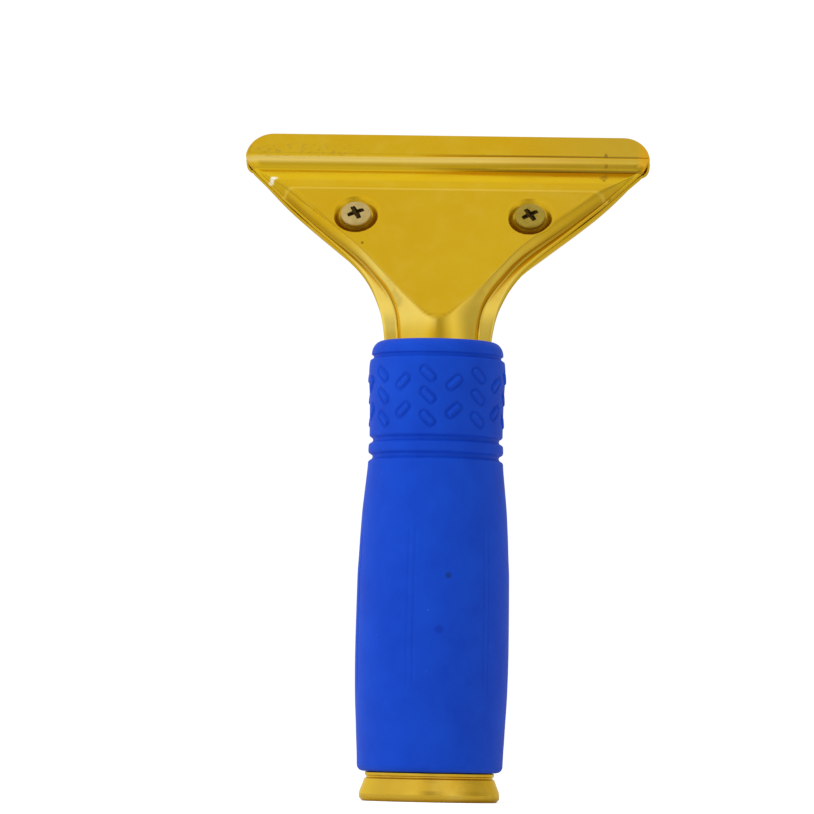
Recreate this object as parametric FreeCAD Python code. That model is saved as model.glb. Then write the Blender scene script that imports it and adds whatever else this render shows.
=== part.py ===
import FreeCAD, Part
import os
from math import sin, cos, pi, radians, degrees, sqrt, hypot
from FreeCAD import Vector

# Hand scraper with a bent-back clamp head, in millimetres.
# +Z runs up the handle axis, the front faces -Y and +X is to the right seen from
# the front. The origin is the centre of the handle's open bottom mouth.
#
# The head is set out on a jaw surface that runs up the handle axis, round a bend
# and on along a plane leaning back. "dist" is the distance along that surface from
# the bend's upper end; "height" is counted square to it, positive to the front.

os.makedirs("parts", exist_ok=True)

# ---------------------------------------------------------------- head layout
HEAD_TILT = radians(35.0)      # jaw plane leans back from the handle axis
BEND_R = 16.0                  # bend radius, on the jaw surface
BEND_Z = 119.0                 # where the bend starts
BEND_START = -BEND_R * HEAD_TILT           # the same place as a dist
BEND_END_Y = BEND_R * (1 - cos(HEAD_TILT))
BEND_END_Z = BEND_Z + BEND_R * sin(HEAD_TILT)
JAW_NORMAL = Vector(0, -cos(HEAD_TILT), sin(HEAD_TILT))
FACE_TURN = 90 - degrees(HEAD_TILT)        # turn about +X that lays +Z on JAW_NORMAL

SHEET = 1.0                    # sheet thickness of both pressed shells
BEAD_S = 46.4                  # dist of the pressed bead's centre line
BEAD_HALF = 2.5                # half width of the bead
BEAD_H = 1.35                  # rise of the bead above the jaw strip
STEP_FOOT_S = 43.5             # foot of the step, just below the bead
STEP_TOP_S = 33.4              # top of the step, where the flat panel starts
STEP_FROM_S = 20               # the step is only worked out above this dist
PANEL_H = 5.6                  # height of the raised panel
CREST_H = 7.6                  # height of the half-round neck
GAP_JAW = 0.30                 # half the gap between the shells round the blade
GAP_NECK = 0.06                # half the gap between the shells at the neck
GAP_RANGE = (21.0, 30.5)       # dists between which the gap widens

# (dist, half width of both shells)
OUTLINE = [
    (-13.0, 13.50), (-9.0, 13.97), (-6.0, 14.50), (-3.0, 15.20), (0.0, 16.20), (2.0, 16.90),
    (4.0, 17.70), (6.0, 18.70), (8.0, 19.80), (10.0, 21.10), (12.0, 22.70), (14.0, 24.40),
    (16.0, 26.20), (20.0, 30.05), (24.0, 33.95), (28.0, 37.70), (32.0, 41.30), (36.0, 44.60),
    (38.0, 46.20), (40.0, 47.90), (42.0, 49.60), (43.0, 50.50), (44.0, 51.35), (45.0, 52.10),
    (46.0, 52.70), (47.0, 53.05), (48.0, 53.15)]
# rounded ends of the lip: quarter ellipses about (END_X, END_S)
END_S, END_X = 48.0, 46.0
END_ACROSS, END_UP = 7.15, 8.1
# (dist, width of the flat rim outside the raised body)
RIM = [
    (-13.0, 3.40), (-9.0, 3.60), (-6.0, 3.90), (-2.0, 3.90), (2.0, 3.20), (6.0, 2.40),
    (9.0, 2.10), (14.0, 2.10), (18.0, 1.60), (22.0, 1.40), (26.0, 1.30), (60.0, 1.30)]
# the raised body's section is (1 - share**P)**Q, share across its half width
# (dist, P) and (dist, Q)
SWELL_P = [
    (-11.0, 2.0), (-4.4, 2.0), (-1.4, 3.0), (1.0, 4.3), (4.1, 6.2), (8.6, 8.0), (60.0, 8.0)]
SWELL_Q = [
    (-11.0, 0.62), (-7.0, 0.80), (-4.4, 0.92), (-1.4, 0.66), (1.0, 0.50), (4.1, 0.50),
    (8.6, 0.44), (60.0, 0.42)]

# the shells' lower ends, inside the tube
NECK_TOP_Z = 114.0             # the shells narrow below here
NECK_HALF = (12.2, 13.5)       # half width, lower and upper
NECK_HALF_Z = (111.7, 113.6)
NECK_BODY = 10.2               # half width of the raised body
FRONT_NECK_CREST = 12.1
FRONT_NECK_Z = (112.0, 107.5)  # the crest rises downward between these
REAR_NECK_CREST = 12.44
REAR_NECK_BODY = 11.7
REAR_NECK_Z = (112.5, 107.0)
REAR_NECK_TOP = 113.0
PANEL_BLEND = 0.5
STEP_BLEND = 0.4
RIM_BLEND = 0.3

# cross-section places: z in the neck, shares of the bend, dists on the flat jaw
# plane, shares of the bead's half width, and degrees round the lip's end
NECK_ROWS = [
    88.0, 92.0, 97.0, 102.0, 105.0, 107.5, 109.5, 110.6, 111.5, 112.3, 113.0, 113.8,
    115.2, 117.0]
BEND_FIFTHS = (5, 4, 3, 2, 1)
JAW_ROWS = [
    0.0, 2.0, 4.0, 6.0, 8.0, 12.0, 16.0, 20.0, 24.0, 28.0, 31.0, STEP_TOP_S,
    35.0, 38.0, 41.0, STEP_FOOT_S - 0.4]
BEAD_ROWS = (-1.12, -0.8, -0.45, 0.0, 0.45, 0.8, 1.12)
END_ANGLES = (20, 33, 45, 56, 66, 75, 83, 90)
# points across a section, as shares of the raised body's half width
BODY_SHARES = (0.0, 0.3, 0.52, 0.7, 0.82, 0.89, 0.94, 0.97, 0.99, 1.0)

# ---------------------------------------------------------------- clamp screws
SIDES = ((-1, "left"), (1, "right"))
SCREW_X = 22.6                 # half the screw spacing
SCREW_S = 24.4                 # dist of the screws
SCREW_R = 1.98                 # M4 shank
SCREW_LEN = 16.0
SCREW_TURN = {"left": 27, "right": 33}     # degrees the cross recess is turned
HEAD_R = 4.0
HEAD_RIM = 0.7                 # straight edge of the pan head
HEAD_DOME = 0.8
RECESS_W = 0.85                # width of the cross recess's arms
HOLE_R = 2.75                  # clearance hole in the clamp plate
HOLE_SHIFT = 0.34              # hole set up the plate, to clear the shank as it tips
SEAT_H = 4.20                  # height of the seat planes
SEAT_R = 4.9                   # radius of the flat round each hole
SEAT_DEPTH = 2.1               # thickness of the disc filled in under each flat
WASHER_T = 0.8
WASHER_R = 4.05
BORE_PLAY = 0.12               # washer over shank, and rear shell hole over nut bore
NUT_AF = 7.0                   # across flats
NUT_T = 3.2
NUT_BORE = 2.03

# ---------------------------------------------------------------- handle
TUBE_R = 14.0
BORE_R = 12.8                  # pole socket radius, up to the socket stop
BORE_UP_R = 12.5               # bore above the stop
TUBE_BOTTOM = 1.5
TUBE_TOP = 111.5
STOP_Z = 62.0
STOP_T = 6.0
FIT = 0.03                     # clearance between fixed pieces
TONGUE_Z = 88.0                # lower end of the rear shell inside the tube
HINGE_Z = 111.0                # the clamp plate tips about its lower edge
TAB_Z = 105.0                  # lower end of the clamp plate's retaining tab
RIVETS = ((94.0, "lower"), (104.0, "upper"))
RIVET_R = 1.6
FERRULE_TOP = 18.0
SLEEVE_R = 15.0                # ferrule's sleeve, under the grip
GRIP_BOTTOM = 7.5
GRIP_TOP = 117.3
LIP_Z = 112.0                  # where the grip's mouth starts to close in
SLOT_FRONT = 1.75              # slot for the shells' rims, forward of the axis
SLOT_BACK = 1.3                # and behind it

# ---------------------------------------------------------------- blade
BLADE_L = 100.0
BLADE_T = 0.5
SPINE_W = 3.0
SPINE_T = 2.5
SPINE_FILLET = 0.75
SPINE_SLOT = BLADE_T / 2 + 0.01            # half the slot's thickness
SLOT_END_S = BEAD_S + 0.7
BLADE_BACK_S = BEAD_S + 0.6
BLADE_CORNER_S = 43.4          # where the clipped corners start
BLADE_CLIP = 9.6               # clipped corner, along the edge
BLADE_EDGE_S = 31.6            # cutting edge, turned inward for storage
BEVEL_W = 2.2
BEVEL_EDGE = 0.03              # half the thickness left at the edge
PRISM_HALF = 60                # half length of cutters that run past the head


# ================================================================ helpers
def interpolate(table, position):
    if position <= table[0][0]:
        return table[0][1]
    for (start, first), (end, last) in zip(table, table[1:]):
        if position <= end:
            return first + (last - first) * (position - start) / (end - start)
    return table[-1][1]


def ease(first, last, span, position):
    """Smooth S-shaped change from first to last over span."""
    start, end = span
    share = max(0.0, min(1.0, (position - start) / (end - start)))
    return first + (last - first) * share * share * (3 - 2 * share)


def smooth_min(one, other, blend):
    share = max(0.0, min(1.0, 0.5 + 0.5 * (other - one) / blend))
    return other * (1 - share) + one * share - blend * share * (1 - share)


def smooth_max(one, other, blend):
    return -smooth_min(-one, -other, blend)


def dist_of_z(z):
    return z - BEND_Z + BEND_START


def z_of_dist(dist):
    """Height on the handle axis, true below the bend."""
    return dist - BEND_START + BEND_Z


def jaw_frame(dist):
    """Point (y, z) of the jaw surface and its front normal (y, z)."""
    if dist >= 0:
        return (BEND_END_Y + dist * sin(HEAD_TILT), BEND_END_Z + dist * cos(HEAD_TILT),
                JAW_NORMAL.y, JAW_NORMAL.z)
    if dist >= BEND_START:
        angle = HEAD_TILT + dist / BEND_R
        return (BEND_R * (1 - cos(angle)), BEND_Z + BEND_R * sin(angle),
                -cos(angle), sin(angle))
    return (0.0, BEND_Z + (dist - BEND_START), -1.0, 0.0)


def jaw_point(x, dist, height):
    y, z, normal_y, normal_z = jaw_frame(dist)
    return Vector(x, y + height * normal_y, z + height * normal_z)


def prism(points, direction):
    return Part.Face(Part.makePolygon(points + [points[0]])).extrude(direction)


def cross_prism(section):
    """Prism along X over (dist, height) points."""
    points = [jaw_point(-PRISM_HALF, dist, height) for dist, height in section]
    return prism(points, Vector(2 * PRISM_HALF, 0, 0))


def jaw_slab(outline, half_thick):
    """Slab over (x, dist) points, centred on the jaw plane."""
    points = [jaw_point(x, dist, -half_thick) for x, dist in outline]
    return prism(points, JAW_NORMAL * (2 * half_thick))


def jaw_block(half_length, low, high, half_thick):
    return jaw_slab([(-half_length, low), (half_length, low),
                     (half_length, high), (-half_length, high)], half_thick)


def jaw_cylinder(x, dist, low, high, radius):
    """Cylinder square to the jaw plane, between two heights."""
    return Part.makeCylinder(radius, high - low, jaw_point(x, dist, low), JAW_NORMAL)


def place_at_screw(shape, x, height, flip=0):
    """Lay local +Z on the jaw plane's front normal, flip degrees further round."""
    shape.rotate(Vector(0, 0, 0), Vector(1, 0, 0), FACE_TURN + flip)
    shape.translate(jaw_point(x, SCREW_S, height))
    return shape


def revolve(profile):
    """Full turn about Z of (radius, z) points."""
    points = [Vector(radius, 0, z) for radius, z in profile]
    face = Part.Face(Part.makePolygon(points + [points[0]]))
    return face.revolve(Vector(0, 0, 0), Vector(0, 0, 1), 360)


def biggest(shape):
    return max(shape.Solids, key=lambda solid: solid.Volume)


def save(shape, name, merge_faces=True):
    solid = biggest(shape)
    if merge_faces:
        solid = solid.removeSplitter()
    solid.exportStep("parts/%s.step" % name)


# ================================================================ shell surfaces
def half_width(dist):
    if dist > END_S:
        rise = (dist - END_S) / END_UP
        return END_X + END_ACROSS * sqrt(max(0.0, 1.0 - rise ** 2))
    z = z_of_dist(dist)
    if z < NECK_TOP_Z:
        return ease(*NECK_HALF, NECK_HALF_Z, z)
    return interpolate(OUTLINE, dist)


def body_half(dist):
    """Half width of the raised body."""
    return half_width(dist) - interpolate(RIM, dist)


def rim_height(dist):
    """Outer face of the flat rim."""
    return ease(GAP_NECK, GAP_JAW, GAP_RANGE, dist) + SHEET


def gap(dist):
    return rim_height(dist) - SHEET


def swell(x, half, crest, dist):
    """Height of the rounded body, crest high on the centre line."""
    share = min(1.0, abs(x) / half)
    power, root = interpolate(SWELL_P, dist), interpolate(SWELL_Q, dist)
    rim = rim_height(dist)
    return rim + (crest - rim) * max(0.0, 1.0 - share ** power) ** root


def panel_height(dist):
    """Flat raised panel, continued down until it meets the neck's crest."""
    y, z, normal_y, normal_z = jaw_frame(dist)
    off_plane = (y - BEND_END_Y) * JAW_NORMAL.y + (z - BEND_END_Z) * JAW_NORMAL.z
    facing = normal_y * JAW_NORMAL.y + normal_z * JAW_NORMAL.z
    return (PANEL_H - off_plane) / max(0.3, facing)


def add_step_and_bead(body, dist):
    rim = rim_height(dist)
    if dist > STEP_FROM_S:
        slope = (PANEL_H - rim) / (STEP_FOOT_S - STEP_TOP_S)
        ramp = rim + slope * (STEP_FOOT_S - dist)
        body = smooth_min(body, max(ramp, rim - 1.0), STEP_BLEND)
    height = smooth_max(rim, body, RIM_BLEND)
    share = (dist - BEAD_S) / BEAD_HALF
    if abs(share) < 1:
        height += BEAD_H * (1 - share * share)
    return height


def front_height(x, dist):
    """Outer face of the clamp plate."""
    half, crest = body_half(dist), CREST_H
    z = z_of_dist(dist)
    if z < FRONT_NECK_Z[0]:
        half = NECK_BODY
        crest = ease(CREST_H, FRONT_NECK_CREST, FRONT_NECK_Z, z)
    body = swell(x, half, crest, dist)
    if dist > BEND_START - 4:
        body = smooth_min(body, panel_height(dist), PANEL_BLEND)
    return add_step_and_bead(body, dist)


def rear_height(x, dist):
    """Outer face of the rear shell, counted backward."""
    half, crest = body_half(dist), CREST_H
    z = z_of_dist(dist)
    if z < REAR_NECK_TOP:
        half = ease(NECK_BODY, REAR_NECK_BODY, REAR_NECK_Z, z)
        crest = ease(CREST_H, REAR_NECK_CREST, REAR_NECK_Z, z)
    body = swell(x, half, crest, dist)
    if z > REAR_NECK_TOP:
        top = ease(CREST_H, PANEL_H, (-12.0, 4.0), dist)
        body = smooth_min(body, top, PANEL_BLEND)
    return add_step_and_bead(body, dist)


def inner_height(outer_height, x, dist):
    """Inner face, one sheet thickness inside the outer one, square to its slope."""
    reach = 0.3
    across = (outer_height(x + reach, dist) - outer_height(x - reach, dist)) / (2 * reach)
    along = (outer_height(x, dist + reach) - outer_height(x, dist - reach)) / (2 * reach)
    slope = min(1.6, hypot(across, along))
    offset = outer_height(x, dist) - SHEET * sqrt(1 + slope * slope)
    return smooth_max(gap(dist) - 0.45, offset, 0.6)


def stations(bottom_z):
    """Dists of the shell's cross sections, from bottom_z up to the lip."""
    return ([dist_of_z(z) for z in NECK_ROWS if z >= bottom_z - 1e-6]
            + [BEND_START * k / 5.0 for k in BEND_FIFTHS]
            + JAW_ROWS
            + [BEAD_S + BEAD_HALF * share for share in BEAD_ROWS]
            + [END_S + END_UP * sin(radians(angle)) for angle in END_ANGLES])


def columns(dist):
    """X of the points across a section, left to right."""
    edge = half_width(dist)
    body = body_half(dist)
    if z_of_dist(dist) < NECK_TOP_Z:
        body = min(body, NECK_BODY)
    half = [body * share for share in BODY_SHARES]
    half += [body + (edge - body) * 0.5, edge]
    return [-x for x in reversed(half[1:])] + half


def pressed_shell(outer_height, bottom_z, side):
    """Faceted sheet between its outer and inner faces; side is +1 front, -1 rear."""
    outer, inner = [], []
    dists = stations(bottom_z)
    for dist in dists:
        for x in columns(dist):
            outer.append(jaw_point(x, dist, side * outer_height(x, dist)))
            inner.append(jaw_point(x, dist, side * inner_height(outer_height, x, dist)))
    rows = len(dists)
    cols = len(outer) // rows
    base = len(outer)          # index of the first inner point
    facets = []
    for i in range(rows - 1):
        for j in range(cols - 1):
            near_left, near_right = i * cols + j, i * cols + j + 1
            far_left, far_right = near_left + cols, near_right + cols
            # the diagonals mirror each other about the centre line
            if j < cols // 2:
                pair = [(near_left, near_right, far_right), (near_left, far_right, far_left)]
            else:
                pair = [(near_left, near_right, far_left), (near_right, far_right, far_left)]
            for facet in pair:
                facets.append(facet)
                facets.append(tuple(base + k for k in reversed(facet)))
    # close the sheet's edge all round
    ring = list(range(cols))
    ring += [i * cols + cols - 1 for i in range(1, rows)]
    ring += [(rows - 1) * cols + j for j in range(cols - 2, -1, -1)]
    ring += [i * cols for i in range(rows - 2, 0, -1)]
    for here, following in zip(ring, ring[1:] + ring[:1]):
        facets.append((following, here, base + here))
        facets.append((following, base + here, base + following))
    mesh = Part.Shape()
    mesh.makeShapeFromMesh((outer + inner, facets), 1e-5)
    solid = Part.Solid(mesh.Shells[0])
    if solid.Volume < 0:
        solid.reverse()
    return solid


# ================================================================ shell pieces
def beyond_jaw(side):
    """Everything past the gap face of one shell, as a prism along X."""
    reach = 70
    points = []
    dist = dist_of_z(84.0)
    while dist < 62.0:
        points.append(jaw_point(-reach, dist, side * gap(dist)))
        dist += 1.0
    points += [Vector(-reach, side * reach, 185), Vector(-reach, side * reach, 80),
               Vector(-reach, 0, 80)]
    return prism(points, Vector(2 * reach, 0, 0))


def tube_room():
    """Room for the tube's wall."""
    bottom = 80.0
    outside = Part.makeCylinder(19.0, TUBE_TOP + 0.3 - bottom, Vector(0, 0, bottom))
    return outside.cut(Part.makeCylinder(BORE_UP_R - 0.05, 60.0, Vector(0, 0, 75.0)))


def spine_room():
    """Room for the blade's spine."""
    half_w, half_t = SPINE_W / 2 + 0.12, SPINE_T / 2 + 0.11
    return cross_prism([(BEAD_S - half_w, -half_t), (BEAD_S - half_w, half_t),
                        (BEAD_S + half_w, half_t), (BEAD_S + half_w, -half_t)])


def press_seat(shell, x, dist, side, hole_radius):
    """Flat seat with a hole through it."""
    def disc(low, high, radius):
        low, high = sorted((side * low, side * high))
        return jaw_cylinder(x, dist, low, high, radius)

    shell = biggest(shell.cut(disc(SEAT_H, SEAT_H + 4, SEAT_R)))
    shell = shell.fuse(disc(SEAT_H - SEAT_DEPTH, SEAT_H, SEAT_R + 0.5))
    return shell.cut(disc(SEAT_H - 6, SEAT_H + 4, hole_radius))


def cut_rivet_holes(shape):
    for z, _ in RIVETS:
        shape = shape.cut(Part.makeCylinder(RIVET_R + 0.02, 8, Vector(0, 8, z),
                                            Vector(0, 1, 0)))
    return shape


def front_clamp_plate():
    plate = pressed_shell(front_height, TAB_Z, 1)
    plate = biggest(plate.cut(beyond_jaw(1)))
    # below the hinge line only the raised tab is left, to hook inside the tube
    below_hinge = Part.makeBox(40, 20, HINGE_Z - TAB_Z + 1, Vector(-20, -1.6, TAB_Z - 1))
    for room in (below_hinge, tube_room(), spine_room()):
        plate = biggest(plate.cut(room))
    for side_x, _ in SIDES:
        plate = press_seat(plate, side_x * SCREW_X, SCREW_S + HOLE_SHIFT, 1, HOLE_R)
    save(plate, "front_clamp_plate", merge_faces=False)


def rear_shell():
    shell = pressed_shell(rear_height, TONGUE_Z, -1)
    for room in (beyond_jaw(-1), tube_room(), spine_room()):
        shell = biggest(shell.cut(room))
    for side_x, _ in SIDES:
        shell = press_seat(shell, side_x * SCREW_X, SCREW_S, -1, NUT_BORE + BORE_PLAY)
    save(cut_rivet_holes(shell), "rear_shell", merge_faces=False)


# ================================================================ screws, washers, nuts
def clamp_screw(x, name):
    """Pan-head screw with a cross recess."""
    top = HEAD_RIM + HEAD_DOME
    screw = revolve([
        (0, -SCREW_LEN), (SCREW_R - 0.5, -SCREW_LEN), (SCREW_R, -SCREW_LEN + 0.6),
        (SCREW_R, 0), (HEAD_R, 0), (HEAD_R, HEAD_RIM), (HEAD_R - 0.35, HEAD_RIM + 0.35),
        (HEAD_R - 1.2, HEAD_RIM + HEAD_DOME * 0.75),
        (HEAD_R - 2.6, HEAD_RIM + HEAD_DOME * 0.97), (0, top)])
    for angle in (0, 90):
        arm = Part.makeBox(4.4, RECESS_W, 1.3, Vector(-2.2, -RECESS_W / 2, top - 1.2))
        arm = arm.fuse(Part.makeBox(2.4, RECESS_W, 1.4,
                                    Vector(-1.2, -RECESS_W / 2, top - 2.0)))
        arm.rotate(Vector(0, 0, 0), Vector(0, 0, 1), angle)
        screw = screw.cut(arm)
    screw.rotate(Vector(0, 0, 0), Vector(0, 0, 1), SCREW_TURN[name])
    save(place_at_screw(screw, x, SEAT_H + WASHER_T), "clamp_screw_" + name)


def lock_washer(x, name):
    """Split spring washer."""
    top = SEAT_H + WASHER_T
    washer = jaw_cylinder(x, SCREW_S, SEAT_H, top, WASHER_R).cut(
        jaw_cylinder(x, SCREW_S, SEAT_H - 1, top + 1, SCREW_R + BORE_PLAY))
    split = Part.makeBox(0.5, 4, 3, Vector(-0.25, 1.2, -1.5))
    split.rotate(Vector(0, 0, 0), Vector(0, 0, 1), 20)
    place_at_screw(split, x, SEAT_H + WASHER_T / 2)
    save(washer.cut(split), "lock_washer_" + name)


def clamp_nut(x, name):
    """Hexagon nut on the back of the rear shell, its outer corners bevelled."""
    corner = NUT_AF / 2 / cos(pi / 6)
    hexagon = [Vector(corner * cos(pi / 3 * i), corner * sin(pi / 3 * i), 0)
               for i in range(6)]
    nut = prism(hexagon, Vector(0, 0, NUT_T))
    nut = nut.cut(Part.makeCylinder(NUT_BORE, NUT_T + 2, Vector(0, 0, -1)))
    nut = nut.common(revolve([
        (0, -1), (corner + 0.9, -1), (corner + 0.9, NUT_T - 1.5),
        (corner - 0.75, NUT_T + 0.15), (0, NUT_T + 0.15)]))
    save(place_at_screw(nut, x, -SEAT_H, flip=180), "clamp_nut_" + name)


# ================================================================ blade and its spine
def blade_spine():
    half = BLADE_L / 2
    spine = jaw_block(half, BEAD_S - SPINE_W / 2, BEAD_S + SPINE_W / 2, SPINE_T / 2)
    long_edges = [edge for edge in spine.Edges
                  if abs(abs(edge.tangentAt(edge.FirstParameter).x) - 1) < 1e-6]
    spine = spine.makeFillet(SPINE_FILLET, long_edges)
    slot = jaw_block(half + 1, BEAD_S - SPINE_W, SLOT_END_S, SPINE_SLOT)
    save(spine.cut(slot), "blade_spine")


def scraper_blade():
    half = BLADE_L / 2
    blade = jaw_slab([
        (-half, BLADE_BACK_S), (half, BLADE_BACK_S), (half, BLADE_CORNER_S),
        (half - BLADE_CLIP, BLADE_EDGE_S), (-half + BLADE_CLIP, BLADE_EDGE_S),
        (-half, BLADE_CORNER_S)], BLADE_T / 2)
    # ground bevel on both faces of the cutting edge
    low, high = BLADE_EDGE_S - 0.01, BLADE_EDGE_S + BEVEL_W
    for side in (1, -1):
        blade = blade.cut(cross_prism([
            (low, side * BEVEL_EDGE), (high, side * BLADE_T / 2),
            (high, side * 1.0), (low, side * 1.0)]))
    save(blade, "scraper_blade")


# ================================================================ handle
def handle_tube():
    tube = Part.makeCylinder(TUBE_R, TUBE_TOP - TUBE_BOTTOM, Vector(0, 0, TUBE_BOTTOM))
    tube = tube.cut(Part.makeCylinder(BORE_UP_R, TUBE_TOP + 5.0))
    tube = tube.cut(Part.makeCylinder(BORE_R, STOP_Z))
    save(cut_rivet_holes(tube), "handle_tube")


def neck_rivet(z, name):
    """Rivet through the back of the tube, its head inside."""
    back = Vector(0, 1, 0)
    rivet = Part.makeCylinder(RIVET_R, 3.05, Vector(0, 10.90, z), back).fuse(
        Part.makeCylinder(2.5, 0.9, Vector(0, 10.12, z), back))
    # the outer end follows the tube's round
    rivet = rivet.common(Part.makeCylinder(TUBE_R - 0.02, 40, Vector(0, 0, z - 20)))
    save(rivet, "neck_rivet_" + name)


def socket_stop():
    """Disc that closes the pole socket inside the tube."""
    stop = Part.makeCylinder(BORE_UP_R - FIT, STOP_T, Vector(0, 0, STOP_Z))
    circles = [edge for edge in stop.Edges if len(edge.Vertexes) == 1]
    save(stop.makeChamfer(0.6, circles), "socket_stop")


def end_ferrule():
    # (radius, z)
    save(revolve([
        (13.5, 0.0), (16.9, 0.0), (17.45, 0.25), (17.8, 0.8), (17.92, 1.6), (17.85, 2.4),
        (17.55, 3.4), (17.1, 4.5), (16.75, 5.3), (16.55, 5.95), (16.1, 6.1), (16.2, 6.35),
        (16.42, 6.55), (16.45, 7.1), (16.3, 7.4), (SLEEVE_R, 7.45), (SLEEVE_R, FERRULE_TOP),
        (TUBE_R + FIT, FERRULE_TOP), (TUBE_R + FIT, TUBE_BOTTOM - FIT),
        (BORE_R, TUBE_BOTTOM - FIT), (BORE_R, 0.7)]), "end_ferrule")


# outside of the grip, bottom to top: (radius, z)
GRIP_OUTSIDE = [
    (16.0, GRIP_BOTTOM), (17.4, 7.55), (18.2, 7.9), (18.5, 8.6), (18.56, 9.3), (18.7, 12.8),
    (18.9, 16.6), (19.07, 20.5), (19.3, 24.3), (19.44, 28.2), (19.54, 33.0), (19.58, 38.0),
    (19.55, 43.0), (19.47, 50.0), (19.35, 58.5), (19.08, 62.7), (18.92, 66.6), (18.69, 70.4),
    (18.46, 74.2), (18.2, 78.1), (17.92, 81.9), (17.65, 85.2), (17.35, 86.3), (16.6, 86.9),
    (16.6, 87.3), (17.1, 87.75), (17.25, 88.4), (17.3, 89.3), (17.25, 90.3), (17.05, 91.0),
    (16.5, 91.45), (16.5, 91.95), (16.95, 92.5), (17.1, 93.2), (17.12, 98.0), (17.2, 103.0),
    (17.5, 107.0), (17.6, 110.5), (17.4, 112.2), (16.7, 112.9), (16.7, 113.4),
    (17.15, 113.9), (17.1, 114.6), (16.75, 115.5), (16.1, 116.3), (15.2, 116.95),
    (14.3, GRIP_TOP), (13.4, GRIP_TOP)]
# bore of the grip, top to bottom, stepped over the ferrule's sleeve: (radius, z)
GRIP_BORE = [
    (13.4, LIP_Z), (TUBE_R + FIT, LIP_Z), (TUBE_R + FIT, FERRULE_TOP + 0.3),
    (SLEEVE_R + FIT, FERRULE_TOP + 0.3), (SLEEVE_R + FIT, GRIP_BOTTOM)]


def neck_opening():
    """Opening round the neck: two humps and a slot for the flat rims."""
    bottom, tall = 111.9, 6.1
    half, crest, edge = 11.0, 9.4, 1.2
    steps = 24

    def hump(side):
        points = []
        for i in range(steps + 1):
            x = -half + 2 * half * i / steps
            square = (x / half) ** 2
            y = edge + (crest - edge) * (1 - square) * (1 + 0.35 * square)
            points.append(Vector(x, side * y, bottom))
        points += [Vector(half, 0, bottom), Vector(-half, 0, bottom)]
        return prism(points, Vector(0, 0, tall))

    slot = Part.makeBox(30, SLOT_FRONT + SLOT_BACK, tall, Vector(-15, -SLOT_FRONT, bottom))
    return hump(-1).fuse(hump(1)).fuse(slot)


def rubber_grip():
    grip = biggest(revolve(GRIP_OUTSIDE + GRIP_BORE))
    lip = Part.makeCylinder(14.0, GRIP_TOP - LIP_Z, Vector(0, 0, LIP_Z))
    lip = lip.cut(neck_opening())
    rim_slot = Part.makeBox(40, SLOT_FRONT + SLOT_BACK, 4.5, Vector(-20, -SLOT_FRONT, 113.0))
    rim_slot = rim_slot.common(Part.makeCylinder(14.6, 12, Vector(0, 0, 108)))
    save(grip.fuse(lip).cut(rim_slot), "rubber_grip")


front_clamp_plate()
rear_shell()
for side_x, side_name in SIDES:
    for build in (clamp_screw, lock_washer, clamp_nut):
        build(side_x * SCREW_X, side_name)
blade_spine()
scraper_blade()
handle_tube()
for rivet_z, rivet_name in RIVETS:
    neck_rivet(rivet_z, rivet_name)
socket_stop()
end_ferrule()
rubber_grip()
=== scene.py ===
"""A hand scraper: a blue rubber grip over a brass handle, and a leaning head whose two pressed
brass shells clamp a blade between them with two screws.

It stands on its end ferrule at z = 0 with the handle's axis on Z. The front faces -Y, +X is to
the right and the head leans back towards +Y. Sizes are in millimetres, turned to metres by MM.
"""
import math

import bmesh
import bpy
import numpy as np
from mathutils import Matrix, Vector


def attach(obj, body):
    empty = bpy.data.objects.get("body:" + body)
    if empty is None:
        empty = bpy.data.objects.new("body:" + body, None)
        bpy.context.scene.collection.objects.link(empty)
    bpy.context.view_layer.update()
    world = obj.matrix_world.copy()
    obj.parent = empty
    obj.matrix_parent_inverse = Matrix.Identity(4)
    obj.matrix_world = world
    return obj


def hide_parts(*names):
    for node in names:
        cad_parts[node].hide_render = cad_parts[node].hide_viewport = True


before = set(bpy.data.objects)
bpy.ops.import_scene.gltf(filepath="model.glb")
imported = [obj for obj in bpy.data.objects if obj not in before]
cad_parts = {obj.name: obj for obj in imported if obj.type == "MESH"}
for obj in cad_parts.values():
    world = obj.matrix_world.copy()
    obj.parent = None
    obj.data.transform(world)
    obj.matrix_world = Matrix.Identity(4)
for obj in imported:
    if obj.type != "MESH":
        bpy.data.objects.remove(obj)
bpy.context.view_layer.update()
MM = 0.001

# ------------------------------------------------------------------ head dimensions
# The head is laid out on a bent middle surface: x across, run along it (0 at the upper end of
# the bend, negative below) and height off it. Heights are positive towards the front.
TILT = math.radians(35.0)
BEND_RADIUS, BEND_Z = 16.0, 119.0
BEND_RUN = -BEND_RADIUS * TILT                      # run at the lower end of the bend
BEND_TOP_Y = BEND_RADIUS * (1 - math.cos(TILT))
BEND_TOP_Z = BEND_Z + BEND_RADIUS * math.sin(TILT)
SHEET = 1.0                                         # sheet thickness
JAW_GAP, NECK_GAP = 0.30, 0.06                      # middle surface to a shell's inner face
PANEL_HEIGHT, CREST_HEIGHT = 5.6, 7.6
FRONT_NECK_CREST, REAR_NECK_CREST = 12.1, 12.44
NECK_Z, NECK_BODY_HALF = 114.0, 10.2
RAMP_TOP, RAMP_FOOT = 43.5, 33.4                    # runs of the slope above the panel
BEAD_RUN, BEAD_HALF, BEAD_HEIGHT = 46.4, 2.5, 1.35  # raised bead across the lip
SCREW_X, SCREW_RUN, SEAT_HEIGHT = 22.6, 24.4, 4.20
WASHER = 0.8
PLATE_FOOT_Z, REAR_FOOT_Z = 105.0, 88.0
END_RUN, END_X, END_WIDTH, END_RISE = 48.0, 46.0, 7.15, 8.1   # quarter ellipses of the lip
EDGE_RADIUS = 0.40
EDGE_INSETS = np.array([0.0, 0.03, 0.09, 0.18, 0.28, EDGE_RADIUS])
UNCAPPED = 99.0                                     # a cap too high to touch anything

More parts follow.
